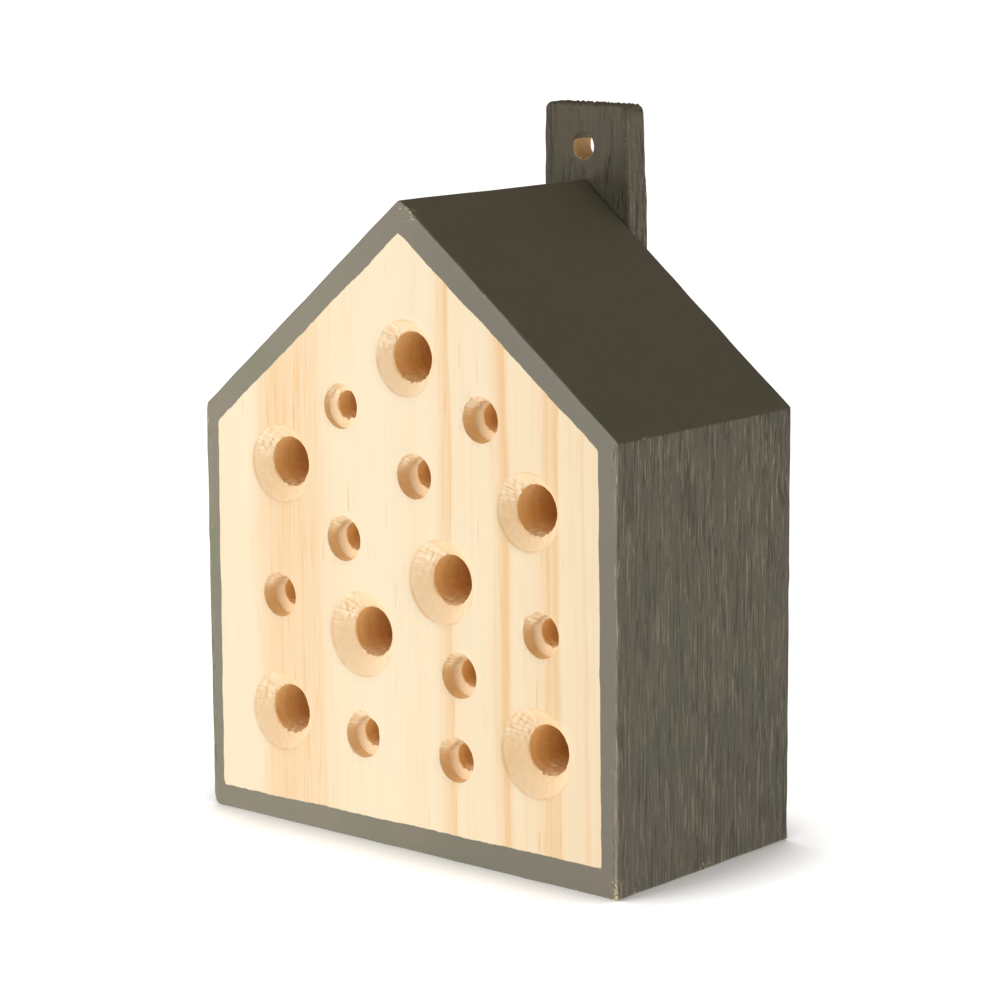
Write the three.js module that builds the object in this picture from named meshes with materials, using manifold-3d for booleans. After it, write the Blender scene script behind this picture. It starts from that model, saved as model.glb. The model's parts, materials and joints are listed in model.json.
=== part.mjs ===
// Insect hotel: a house-shaped block of solid pine with sixteen blind nesting holes drilled into its
// front, and a hanging slat screwed to its back that stands up behind the ridge.
//
// Units are millimetres and +Z is up. The origin is on the base plane, in the middle of the width and of
// the whole depth. The drilled front faces -Y.

import * as THREE from 'three';
import { mergeVertices } from 'three/addons/utils/BufferGeometryUtils.js';
import Module from 'manifold-3d';

const wasm = await Module();
wasm.setup();

// ---------------------------------------------------------------- driving dimensions

// The block is one length of planed 60 x 120 timber, standing on its sawn end.
const BLOCK_WIDTH = 120;
const BLOCK_DEPTH = 60;
const RIDGE_HEIGHT = 141.3;
const RIGHT_EAVE_HEIGHT = 95.5;
const LEFT_EAVE_HEIGHT = 92;

// The right half narrows by this much towards the back, because the right side is planed off square.
const RIGHT_SIDE_TAPER = 2;

// Corners are broken with sandpaper, the left ones more than the right.
const UPRIGHT_CORNER_RADIUS = 0.8;
const LEFT_CORNER_RADIUS = 2.4;
const RIGHT_CORNER_RADIUS = 1;
const RIDGE_RADIUS = 1.2;

// Every nesting hole is blind and ends in the cone of a twist drill with a 118 degree point.
const NEST_DEPTH = 48;
const DRILL_POINT_HALF_ANGLE = 59;

// Wide-mouthed holes: an 11 mm bore under a 90 degree countersink, sunk to a different rim each time.
const WIDE_BORE_DIAMETER = 11;
const COUNTERSINK_HALF_ANGLE = 45;
const WIDE_HOLES = [
  { x: 1, z: 107.5, rim: 16.5 },
  { x: -36.5, z: 81, rim: 17.6 },
  { x: 35.5, z: 78.5, rim: 17 },
  { x: 11, z: 60.5, rim: 18.4 },
  { x: -12.5, z: 46, rim: 18.8 },
  { x: 37.5, z: 27.5, rim: 19.5 },
  { x: -37.5, z: 25, rim: 17.6 },
];

// Stepped holes: a 6.2 mm bore, opened to the rim diameter by a larger drill down to each step.
const STEPPED_BORE_DIAMETER = 6.2;
const STEPPED_RIM_DIAMETER = 9.8;
const STEPPED_HOLES = [
  { x: -18, z: 95.5, step: 1.4 },
  { x: 22.5, z: 96.5, step: 3.6 },
  { x: 3.5, z: 82.5, step: 3.4 },
  { x: -17.5, z: 66.5, step: 3 },
  { x: 39, z: 53, step: 2.8 },
  { x: -37.5, z: 51.5, step: 3.7 },
  { x: 16, z: 41, step: 3.2 },
  { x: -12.5, z: 23.5, step: 2.9 },
  { x: 15, z: 22.5, step: 3 },
];

// The slat stands up behind the ridge, flat against the back of the block. Its right edge is sanded in
// above the shoulder, and its left edge hardly leans.
const SLAT_THICKNESS = 6.5;
const SLAT_LEFT_X = -12.3;
const SLAT_RIGHT_X = 12.75;
const SLAT_SHOULDER_HEIGHT = 136;
const SLAT_SHOULDER_RADIUS = 40;
const SLAT_TOP_LEFT_X = -11.8;
const SLAT_TOP_RIGHT_X = 11.5;
const SLAT_FOOT_HEIGHT = 58;
const SLAT_TOP_HEIGHT = 158;
const SLAT_TOP_CORNER_RADIUS = 2.4;
const SLAT_FOOT_CORNER_RADIUS = 1.5;
const SLAT_EDGE_BREAK = 0.5;
const HANGING_HOLE_DIAMETER = 6;
const HANGING_HOLE_X = -0.6;
const HANGING_HOLE_HEIGHT = 148.3;

// Countersunk 3.5 x 20 wood screws hold the slat, with their heads just under its back face.
const SCREW_LENGTH = 20;
const SCREW_HEAD_DIAMETER = 7;
const SCREW_HEAD_RIM = 0.4;
const SCREW_HEAD_SINK = 0.2;
const SCREW_THREAD_DIAMETER = 3.5;
const SCREW_CORE_DIAMETER = 2.3;
const SCREW_THREAD_PITCH = 1.8;
const SCREW_TIP_LENGTH = 3;
const SCREW_RECESS_SPAN = 4.2;
const SCREW_RECESS_WIDTH = 0.9;
const SCREW_RECESS_DEPTH = 1.5;
const SCREW_X = 0.4;
const SCREW_HEIGHTS = { slat_screw_upper: 118, slat_screw_lower: 76 };

// Pieces that touch on the real object are modelled this far apart.
const JOIN_GAP = 0.3;

// Flats on a full turn of each kind of round surface.
const WIDE_HOLE_SIDES = 40;
const STEPPED_HOLE_SIDES = 32;
const SCREW_SIDES = 24;
const THREAD_STEPS_PER_TURN = 14;
const CORNER_SEGMENTS = 4;

// How far a cutter runs past the face that it cuts.
const CUT_OVERRUN = 1;

// ---------------------------------------------------------------- derived places

const overallDepth = BLOCK_DEPTH + JOIN_GAP + SLAT_THICKNESS;
const frontY = -overallDepth / 2;
const blockBackY = frontY + BLOCK_DEPTH;
const slatFrontY = blockBackY + JOIN_GAP;
const slatBackY = overallDepth / 2;
const screwHeadY = slatBackY - SCREW_HEAD_SINK;
const screwTipY = screwHeadY - SCREW_LENGTH;
const screwHoleRadius = SCREW_THREAD_DIAMETER / 2 + JOIN_GAP;

// ---------------------------------------------------------------- materials

const paintedPine = { color: 0x6b6858, roughness: 0.62, metalness: 0 };
const paintedLath = { color: 0x625f52, roughness: 0.6, metalness: 0 };
const zincPlatedSteel = { color: 0xb9bcbf, roughness: 0.35, metalness: 1 };

// ---------------------------------------------------------------- solids

// The length that a cone of this half angle takes to widen by this much radius.
function coneLength(radiusChange, halfAngle) {
  return radiusChange / Math.tan(THREE.MathUtils.degToRad(halfAngle));
}

// A manifold solid from a closed three.js geometry.
function solidFrom(geometry) {
  const bare = geometry.clone();
  bare.deleteAttribute('normal');
  bare.deleteAttribute('uv');
  const merged = mergeVertices(bare, 1e-5);
  const triVerts = Uint32Array.from(merged.index.array);
  const vertProperties = Float32Array.from(merged.attributes.position.array);
  return new wasm.Manifold(new wasm.Mesh({ numProp: 3, vertProperties, triVerts }));
}

// A three.js geometry from a manifold solid.
function geometryFrom(solid) {
  const mesh = solid.getMesh();
  const geometry = new THREE.BufferGeometry();
  geometry.setAttribute('position', new THREE.BufferAttribute(mesh.vertProperties, mesh.numProp));
  geometry.setIndex(new THREE.BufferAttribute(mesh.triVerts, 1));
  geometry.computeVertexNormals();
  return geometry;
}

// A convex outline with every corner rounded. Corners run anticlockwise as { x, y, radius }.
function roundedOutline(corners) {
  const shape = new THREE.Shape();
  corners.forEach((corner, index) => {
    const here = new THREE.Vector2(corner.x, corner.y);
    const before = corners[(index + corners.length - 1) % corners.length];
    const after = corners[(index + 1) % corners.length];
    const toBefore = new THREE.Vector2(before.x, before.y).sub(here).normalize();
    const toAfter = new THREE.Vector2(after.x, after.y).sub(here).normalize();
    const halfAngle = Math.acos(toBefore.dot(toAfter)) / 2;
    const setback = corner.radius / Math.tan(halfAngle);
    const start = here.clone().addScaledVector(toBefore, setback);
    const towardsCentre = toBefore.add(toAfter).normalize();
    const centre = here.clone().addScaledVector(towardsCentre, corner.radius / Math.sin(halfAngle));
    const end = here.clone().addScaledVector(toAfter, setback);
    const startAngle = Math.atan2(start.y - centre.y, start.x - centre.x);
    const endAngle = Math.atan2(end.y - centre.y, end.x - centre.x);
    if (index === 0) shape.moveTo(start.x, start.y);
    else shape.lineTo(start.x, start.y);
    shape.absarc(centre.x, centre.y, corner.radius, startAngle, endAngle, false);
  });
  shape.closePath();
  return shape;
}

// An outline drawn in the XZ plane, extruded from nearY to farY.
function extrudeAlongY(shape, nearY, farY, edgeBreak = 0) {
  const geometry = new THREE.ExtrudeGeometry(shape, {
    depth: farY - nearY - 2 * edgeBreak,
    curveSegments: CORNER_SEGMENTS,
    bevelEnabled: edgeBreak > 0,
    bevelThickness: edgeBreak,
    bevelSize: edgeBreak,
    bevelOffset: -edgeBreak,
    bevelSegments: 1,
  });
  geometry.rotateX(Math.PI / 2);
  geometry.translate(0, farY - edgeBreak, 0);
  return geometry;
}

// A solid of revolution about the Y axis. The profile holds [radius, y] pairs with y rising.
function turned(profile, sides) {
  const points = profile.map(([radius, y]) => new THREE.Vector2(radius, y));
  return solidFrom(new THREE.LatheGeometry(points, sides));
}

// ---------------------------------------------------------------- the drilled block

// Draws the right half in towards the back. The eave and the roof slope move with the side.
function taperRightHalf(geometry) {
  const position = geometry.getAttribute('position');
  for (let index = 0; index < position.count; index += 1) {
    const x = position.getX(index);
    const wayToBack = (position.getY(index) - frontY) / BLOCK_DEPTH;
    const share = 1 - (wayToBack * RIGHT_SIDE_TAPER) / (BLOCK_WIDTH / 2);
    if (x > 0) position.setX(index, x * share);
  }
}

// The house outline seen from the front, run back through the depth of the block.
function houseFromFront() {
  const half = BLOCK_WIDTH / 2;
  const outline = roundedOutline([
    { x: -half, y: 0, radius: LEFT_CORNER_RADIUS },
    { x: half, y: 0, radius: RIGHT_CORNER_RADIUS },
    { x: half, y: RIGHT_EAVE_HEIGHT, radius: RIGHT_CORNER_RADIUS },
    { x: 0, y: RIDGE_HEIGHT, radius: RIDGE_RADIUS },
    { x: -half, y: LEFT_EAVE_HEIGHT, radius: LEFT_CORNER_RADIUS },
  ]);
  const geometry = extrudeAlongY(outline, frontY, blockBackY);
  taperRightHalf(geometry);
  return solidFrom(geometry);
}

// The upright prism of the same block seen from above, with its tapered right side.
function houseFromAbove() {
  const half = BLOCK_WIDTH / 2;
  const radius = UPRIGHT_CORNER_RADIUS;
  const outline = roundedOutline([
    { x: -half, y: frontY, radius },
    { x: half, y: frontY, radius },
    { x: half - RIGHT_SIDE_TAPER, y: blockBackY, radius },
    { x: -half, y: blockBackY, radius },
  ]);
  const height = RIDGE_HEIGHT + 2 * CUT_OVERRUN;
  const geometry = new THREE.ExtrudeGeometry(outline, {
    depth: height,
    curveSegments: CORNER_SEGMENTS,
    bevelEnabled: false,
  });
  geometry.translate(0, 0, -CUT_OVERRUN);
  return solidFrom(geometry);
}

// What the drills take out for one hole, from ahead of the mouth to the drill point. A mouth is a list
// of [radius, depth] pairs from the front face inwards, before the plain bore.
function nestingHole(place, mouth, boreRadius, sides) {
  const pointLength = coneLength(boreRadius, DRILL_POINT_HALF_ANGLE);
  const profile = [
    [0, -CUT_OVERRUN],
    [mouth[0][0], -CUT_OVERRUN],
    ...mouth,
    [boreRadius, NEST_DEPTH - pointLength],
    [0, NEST_DEPTH],
  ];
  return turned(profile, sides).translate([place.x, frontY, place.z]);
}

function wideHole(hole) {
  const boreRadius = WIDE_BORE_DIAMETER / 2;
  const rimRadius = hole.rim / 2;
  const sinkDepth = coneLength(rimRadius - boreRadius, COUNTERSINK_HALF_ANGLE);
  const mouth = [[rimRadius, 0], [boreRadius, sinkDepth]];
  return nestingHole(hole, mouth, boreRadius, WIDE_HOLE_SIDES);
}

function steppedHole(hole) {
  const boreRadius = STEPPED_BORE_DIAMETER / 2;
  const rimRadius = STEPPED_RIM_DIAMETER / 2;
  const shoulderDepth = hole.step + coneLength(rimRadius - boreRadius, DRILL_POINT_HALF_ANGLE);
  const mouth = [[rimRadius, hole.step], [boreRadius, shoulderDepth]];
  return nestingHole(hole, mouth, boreRadius, STEPPED_HOLE_SIDES);
}

// The hole that a slat screw bites into, with the gap round the thread and past the tip.
function blockScrewHole(height) {
  const profile = [
    [0, screwTipY - JOIN_GAP],
    [screwHoleRadius, screwTipY - JOIN_GAP],
    [screwHoleRadius, blockBackY + CUT_OVERRUN],
    [0, blockBackY + CUT_OVERRUN],
  ];
  return turned(profile, SCREW_SIDES).translate([SCREW_X, 0, height]);
}

function drilledBlock() {
  let block = houseFromFront().intersect(houseFromAbove());
  for (const hole of WIDE_HOLES) block = block.subtract(wideHole(hole));
  for (const hole of STEPPED_HOLES) block = block.subtract(steppedHole(hole));
  for (const height of Object.values(SCREW_HEIGHTS)) block = block.subtract(blockScrewHole(height));
  return geometryFrom(block);
}

// ---------------------------------------------------------------- the hanging slat

function slatBlank() {
  const outline = roundedOutline([
    { x: SLAT_LEFT_X, y: SLAT_FOOT_HEIGHT, radius: SLAT_FOOT_CORNER_RADIUS },
    { x: SLAT_RIGHT_X, y: SLAT_FOOT_HEIGHT, radius: SLAT_FOOT_CORNER_RADIUS },
    { x: SLAT_RIGHT_X, y: SLAT_SHOULDER_HEIGHT, radius: SLAT_SHOULDER_RADIUS },
    { x: SLAT_TOP_RIGHT_X, y: SLAT_TOP_HEIGHT, radius: SLAT_TOP_CORNER_RADIUS },
    { x: SLAT_TOP_LEFT_X, y: SLAT_TOP_HEIGHT, radius: SLAT_TOP_CORNER_RADIUS },
  ]);
  return solidFrom(extrudeAlongY(outline, slatFrontY, slatBackY, SLAT_EDGE_BREAK));
}

// The plain hole that a nail goes through.
function hangingHole() {
  const radius = HANGING_HOLE_DIAMETER / 2;
  const profile = [
    [0, slatFrontY - CUT_OVERRUN],
    [radius, slatFrontY - CUT_OVERRUN],
    [radius, slatBackY + CUT_OVERRUN],
    [0, slatBackY + CUT_OVERRUN],
  ];
  return turned(profile, STEPPED_HOLE_SIDES).translate([HANGING_HOLE_X, 0, HANGING_HOLE_HEIGHT]);
}

// A clearance hole for a screw, countersunk from the back so that the head sits below the face.
function slatScrewHole(height) {
  const seatRadius = SCREW_HEAD_DIAMETER / 2 + JOIN_GAP;
  const seatY = screwHeadY - SCREW_HEAD_RIM - JOIN_GAP;
  const profile = [
    [0, slatFrontY - CUT_OVERRUN],
    [screwHoleRadius, slatFrontY - CUT_OVERRUN],
    [screwHoleRadius, seatY - coneLength(seatRadius - screwHoleRadius, COUNTERSINK_HALF_ANGLE)],
    [seatRadius, seatY],
    [seatRadius, slatBackY + CUT_OVERRUN],
    [0, slatBackY + CUT_OVERRUN],
  ];
  return turned(profile, SCREW_SIDES).translate([SCREW_X, 0, height]);
}

function hangingSlat() {
  let slat = slatBlank().subtract(hangingHole());
  for (const height of Object.values(SCREW_HEIGHTS)) slat = slat.subtract(slatScrewHole(height));
  return geometryFrom(slat);
}

// ---------------------------------------------------------------- the slat screws

// Head, core and point, turned about the screw's own axis with the point towards -Y.
function screwBody() {
  const headRadius = SCREW_HEAD_DIAMETER / 2;
  const coreRadius = SCREW_CORE_DIAMETER / 2;
  const headUnderY = screwHeadY - SCREW_HEAD_RIM;
  return turned([
    [0, screwTipY],
    [coreRadius, screwTipY + SCREW_TIP_LENGTH],
    [coreRadius, headUnderY - coneLength(headRadius - coreRadius, COUNTERSINK_HALF_ANGLE)],
    [headRadius, headUnderY],
    [headRadius, screwHeadY],
    [0, screwHeadY],
  ], SCREW_SIDES);
}

// The path of the thread's crest line, a helix round the core from the tip's shoulder to the slat.
class ThreadPath extends THREE.Curve {
  getPoint(t, target = new THREE.Vector3()) {
    const startY = screwTipY + SCREW_TIP_LENGTH;
    const threadLength = blockBackY - startY;
    const angle = (t * threadLength * 2 * Math.PI) / SCREW_THREAD_PITCH;
    const radius = SCREW_CORE_DIAMETER / 2;
    return target.set(radius * Math.cos(angle), startY + t * threadLength, radius * Math.sin(angle));
  }
}

// A raised diamond ridge, half buried in the core, swept along the thread's path.
function screwThread() {
  const reach = (SCREW_THREAD_DIAMETER - SCREW_CORE_DIAMETER) / 2;
  const ridge = new THREE.Shape();
  ridge.moveTo(reach, 0);
  ridge.lineTo(0, reach);
  ridge.lineTo(-reach, 0);
  ridge.lineTo(0, -reach);
  ridge.closePath();
  const path = new ThreadPath();
  const turns = (blockBackY - screwTipY - SCREW_TIP_LENGTH) / SCREW_THREAD_PITCH;
  const steps = Math.round(turns * THREAD_STEPS_PER_TURN);
  return solidFrom(new THREE.ExtrudeGeometry(ridge, { steps, extrudePath: path, bevelEnabled: false }));
}

// The cross recess in the head, two slots that narrow to a point.
function crossRecess() {
  const half = SCREW_RECESS_SPAN / 2;
  const slot = new THREE.Shape();
  slot.moveTo(-half, CUT_OVERRUN);
  slot.lineTo(-half, 0);
  slot.lineTo(-SCREW_RECESS_WIDTH / 2, -SCREW_RECESS_DEPTH);
  slot.lineTo(SCREW_RECESS_WIDTH / 2, -SCREW_RECESS_DEPTH);
  slot.lineTo(half, 0);
  slot.lineTo(half, CUT_OVERRUN);
  slot.closePath();
  const across = new THREE.ExtrudeGeometry(slot, { depth: SCREW_RECESS_WIDTH, bevelEnabled: false });
  across.translate(0, 0, -SCREW_RECESS_WIDTH / 2);
  const upright = across.clone().rotateY(Math.PI / 2);
  return solidFrom(across).add(solidFrom(upright)).translate([0, screwHeadY, 0]);
}

function slatScrew() {
  return geometryFrom(screwBody().add(screwThread()).subtract(crossRecess()));
}

// ---------------------------------------------------------------- the assembly

function namedMesh(name, geometry, finish) {
  const mesh = new THREE.Mesh(geometry, new THREE.MeshStandardMaterial(finish));
  mesh.name = name;
  return mesh;
}

const insectHotel = new THREE.Group();
insectHotel.add(namedMesh('drilled_block', drilledBlock(), paintedPine));
insectHotel.add(namedMesh('hanging_slat', hangingSlat(), paintedLath));

for (const [name, height] of Object.entries(SCREW_HEIGHTS)) {
  const screw = namedMesh(name, slatScrew(), zincPlatedSteel);
  screw.position.set(SCREW_X, 0, height);
  insectHotel.add(screw);
}

export default insectHotel;
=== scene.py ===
"""Looks of the insect hotel: a drilled pine block with a painted rim, its hanging slat and two screws.

Everything is in metres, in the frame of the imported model. The drilled front faces -Y and +Z is up.
"""

import json
import math

import bmesh
import bpy
import numpy as np
from mathutils import Matrix, Vector
from mathutils.geometry import delaunay_2d_cdt


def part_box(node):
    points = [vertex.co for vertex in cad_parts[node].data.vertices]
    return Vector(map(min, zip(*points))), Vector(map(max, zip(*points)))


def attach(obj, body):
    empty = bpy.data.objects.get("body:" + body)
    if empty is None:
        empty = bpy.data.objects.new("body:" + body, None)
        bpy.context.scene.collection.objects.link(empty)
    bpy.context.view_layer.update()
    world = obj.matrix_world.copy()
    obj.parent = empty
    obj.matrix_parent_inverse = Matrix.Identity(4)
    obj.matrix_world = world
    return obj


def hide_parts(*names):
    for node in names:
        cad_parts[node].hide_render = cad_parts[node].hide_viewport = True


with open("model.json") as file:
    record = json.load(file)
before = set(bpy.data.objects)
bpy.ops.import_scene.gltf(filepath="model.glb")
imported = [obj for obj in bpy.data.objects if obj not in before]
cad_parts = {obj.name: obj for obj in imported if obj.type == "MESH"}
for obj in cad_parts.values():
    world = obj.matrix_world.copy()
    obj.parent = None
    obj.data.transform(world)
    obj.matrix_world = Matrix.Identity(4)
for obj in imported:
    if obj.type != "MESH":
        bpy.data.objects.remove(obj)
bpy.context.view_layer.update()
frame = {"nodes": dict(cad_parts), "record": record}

MM = 0.001
BODY = "root"

# ---------------- the block

BLOCK_LOW, BLOCK_HIGH = (Vector(corner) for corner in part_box("drilled_block"))
FRONT_Y = BLOCK_LOW.y
BACK_Y = BLOCK_HIGH.y
BLOCK_HALF_WIDTH = -BLOCK_LOW.x
RIDGE_HEIGHT = 141.3 * MM
RIGHT_EAVE_HEIGHT = 95.5 * MM
LEFT_EAVE_HEIGHT = 92 * MM
RIGHT_SIDE_TAPER = 2 * MM
LEFT_CORNER_RADIUS = 2.4 * MM
RIGHT_CORNER_RADIUS = 0.8 * MM
RIDGE_RADIUS = 1.2 * MM
BLOCK_EDGE_RADIUS = 0.42 * MM
# How far the rippled base stays above what the house stands on.
FLOOR_GAP = 0.01 * MM

# Inner corners of the painted rim on the front face, as x and z in millimetres.
RIM_CORNERS = [(-56.4, 5.2), (55.3, 6.2), (54.6, 93.5), (-0.2, 134.1), (-56.0, 88.6)]
# Where the paint has chipped, as x, depth behind the block's front, z and reach in millimetres.
PAINT_CHIPS = [
    (3, 0, 138.5, 3.5), (59.5, 0, 0.5, 4), (58, 6, 0, 4), (60, 0, 3, 3), (58, 30, 0, 5),
    (-12, 58, 158, 3), (10, 58, 158, 4),
]

# How close together the points of the block's mesh are, and how near the edge a flat face's begin.
BLOCK_OUTLINE_STEP = 3 * MM
BLOCK_ROW_STEP = 0.46 * MM
BLOCK_FACE_MARGIN = 1.6 * MM
FRONT_GRID = (1.5 * MM, 1.5 * MM)
BACK_GRID = (2 * MM, 2.6 * MM)
# The share of the way in from the front's edge to its middle at which a first ring of points lies.
FRONT_RING_INSET = 0.6 / 55
BLOCK_SHARP_ANGLE = math.radians(38)

# ---------------- camera

# Where the viewer stands: to the right of the front, a little above it, facing VIEW_AIM.
VIEW_AZIMUTH = math.radians(41.79)
VIEW_ELEVATION = math.radians(10.25)
VIEW_ROLL = math.radians(-0.36)
VIEW_DISTANCE = 784 * MM
VIEW_LENS = 128.6
VIEW_AIM = Vector((0, FRONT_Y + 31.25 * MM, 72.7 * MM))

# ---------------- the nesting holes

# Rim diameters of the countersunk holes and step depths of the stepped ones, in millimetres.
WIDE_RIMS = {1: 16.5, 2: 17.6, 3: 17, 4: 18.4, 5: 18.8, 6: 19.5, 7: 17.6}
WIDE_BORE = 11
STEP_DEPTHS = {1: 1.4, 2: 3.6, 3: 3.4, 4: 3, 5: 2.8, 6: 3.7, 7: 3.2, 8: 2.9, 9: 3}
STEPPED_RIM = 9.8
STEPPED_BORE = 6.2
WIDE_SIDES = 90
STEPPED_SIDES = 72
NEST_DEPTH = 48
DRILL_POINT_SLOPE = math.tan(math.radians(31))
# The uneven steps that a drill leaves down a bore: spacing and height in millimetres, start in radians.
TURNING_MARKS = [(3.7, 0.03, 0), (1.7, 0.014, 1)]

# How far a drill has cut the wood, from 0 on the planed face to 1 down a bore.
CUT_CONE = 0.5
CUT_STEP = 0.75
CUT_BORE = 1.0
# Above these levels a wall tears like a step's and like a bore's.
STEP_LEVEL = 0.7
BORE_LEVEL = 0.9
# How far the torn top of a step leans in, and how deep down it has leant all the way, in millimetres.
TORN_LEAN = 1.1
TORN_LEAN_DEPTH = 2.4

# Splinters torn out of a rim: hole name to a list of (angle, half width, size). Angles run in degrees
# from +X towards +Z, and sizes are in millimetres. CHIP_DEPTH is how deep they fade, in millimetres.
CHIP_DEPTH = 0.9
RIM_CHIPS = {
    "wide_hole_1": [(5, 7, 0.5)],
    "stepped_hole_2": [(118, 7, 0.6)],
    "stepped_hole_4": [(128, 26, 0.45)],
    "stepped_hole_5": [(140, 20, 0.5)],
    "stepped_hole_7": [(72, 12, 0.35)],
    "stepped_hole_8": [(100, 34, 0.9), (35, 22, 0.4), (235, 10, 0.3)],
    "stepped_hole_9": [(150, 22, 0.7)],
}

# ---------------- the slat

SLAT_LOW, SLAT_HIGH = (Vector(corner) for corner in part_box("hanging_slat"))
SLAT_TOP_LEFT_X = -11.8 * MM
SLAT_TOP_RIGHT_X = 11.5 * MM
SLAT_SHOULDER_HEIGHT = 136 * MM
SLAT_SHOULDER_RADIUS = 40 * MM
SLAT_EDGE_RADIUS = 0.5 * MM
SLAT_TOP_RADIUS = 2.2 * MM
SLAT_FOOT_RADIUS = 1.5 * MM
SLAT_OUTLINE_STEP = 0.6 * MM
SLAT_ROW_STEP = 0.5 * MM
SLAT_FACE_MARGIN = 1.1 * MM
SLAT_GRID = (0.55 * MM, 1.5 * MM)
SLAT_SHARP_ANGLE = math.radians(40)
HANGING_HOLE = {"x": -0.6 * MM, "z": 148.35 * MM, "radius": 3 * MM}
HANGING_CHIPS = [(225, 20, 0.3)]
# The sine of the angle above which the hanging hole's wall is painted, and how fast the paint starts.
PAINTED_MOUTH = 0.5
MOUTH_SLOPE = 5

# ---------------- the screws' holes, in millimetres

SCREW_NAMES = ["slat_screw_upper", "slat_screw_lower"]
SHANK_HOLE_RADIUS = 2.05
SHANK_MOUTH_RADIUS = 2.1
HEAD_HOLE_RADIUS = 3.8
HEAD_MOUTH_RADIUS = 3.9
HEAD_RECESS = 0.9
COUNTERSINK_DEPTH = 1.75

# ---------------- chance

# One seed for each random thing. Holes that are made in a loop count on from theirs.
SEEDS = {
    "front": 7, "back": 8, "block_grain": 11, "block_dips": 21, "block_edge": 31,
    "slat_edge": 41, "slat_grain": 43, "slat_top": 47, "slat_front": 51, "slat_back": 52,
    "nesting_holes": 100, "screw_holes": 400, "slat_holes": 500,
}


# ================ small helpers

class Waves:
    """A smooth random function of place: a seeded sum of plane waves, about -1 to 1."""

    def __init__(self, seed, count, low, high):
        """low and high bound the waves' frequencies along x, y and z, in cycles per millimetre."""
        random = np.random.default_rng(seed)
        signs = random.choice([-1, 1], size=(count, 3))
        self.frequencies = random.uniform(low, high, size=(count, 3)) * signs * 2 * math.pi
        self.phases = random.uniform(0, 2 * math.pi, size=count)
        self.level = math.sqrt(2 / count) / 1.6

    def __call__(self, points):
        phases = np.asarray(points) / MM @ self.frequencies.T + self.phases
        return np.sin(phases).sum(axis=1) * self.level


def smooth_step(value, start, end):
    """0 up to start and 1 from end on, with a soft S between them."""
    share = np.clip((value - start) / (end - start), 0, 1)
    return share * share * (3 - 2 * share)


def rounded_outline(corners, spacing):
    """Points and outward normals round a convex outline. corners are (x, z, radius), anticlockwise
    as seen from the front, and spacing is the longest step along a straight run."""
    arcs = []
    for index, (x, z, radius) in enumerate(corners):
        here = np.array([x, z])
        before = np.array(corners[index - 1][:2]) - here
        after = np.array(corners[(index + 1) % len(corners)][:2]) - here
        before /= np.linalg.norm(before)
        after /= np.linalg.norm(after)
        half_angle = math.acos(np.dot(before, after)) / 2
        inwards = (before + after) / np.linalg.norm(before + after)
        centre = here + inwards * radius / math.sin(half_angle)
        angles = math.atan2(before[0], -before[1]) + np.linspace(0, math.pi - 2 * half_angle, 6)
        normals = np.stack([np.cos(angles), np.sin(angles)], axis=1)
        arcs.append((centre + radius * normals, normals))
    points, normals = [], []
    for index, (arc_points, arc_normals) in enumerate(arcs):
        points.extend(arc_points)
        normals.extend(arc_normals)
        start = arc_points[-1]
        end = arcs[(index + 1) % len(arcs)][0][0]
        steps = max(1, round(np.linalg.norm(end - start) / spacing))
        for step in range(1, steps):
            points.append(start + (end - start) * step / steps)
            normals.append(arc_normals[-1])
    return np.array(points), np.array(normals)


def at_depth(places, y):
    """(x, z) places as points at depth y."""
    return np.stack([places[:, 0], np.broadcast_to(y, len(places)), places[:, 1]], axis=1)


def distance_inside(points, polygon):
    """How far each (x, z) point is inside a convex anticlockwise polygon; negative is outside."""
    distance = np.full(len(points), np.inf)
    for index, start in enumerate(polygon):
        run = np.subtract(polygon[(index + 1) % len(polygon)], start)
        inwards = np.array([-run[1], run[0]]) / np.linalg.norm(run)
        distance = np.minimum(distance, (points - np.array(start)) @ inwards)
    return distance


# What each point of the carved wood knows. In millimetres: how far it is into the paint (border), how
# deep down a hole and how far round it. As shares: closeness to an edge, raised grain (relief), how
# weathered (on the block's sides rising to the top and back, which paints sheen there too) and flaked
# the paint is (on the slat's sides the flaked patches are partly painted glints), how much painted shade
# darkens it, how chipped it is, how far a drill cut the wood and tore it.
VALUE_NAMES = ["border", "edge", "relief", "weathered", "flaky", "coat", "chipped", "drilled", "torn",
               "depth", "around"]
# Border values well inside the paint, at a painted mouth, and well away from paint.
PAINTED = 10.0
PAINTED_RIM = 3.0
BARE = -10.0


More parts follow.
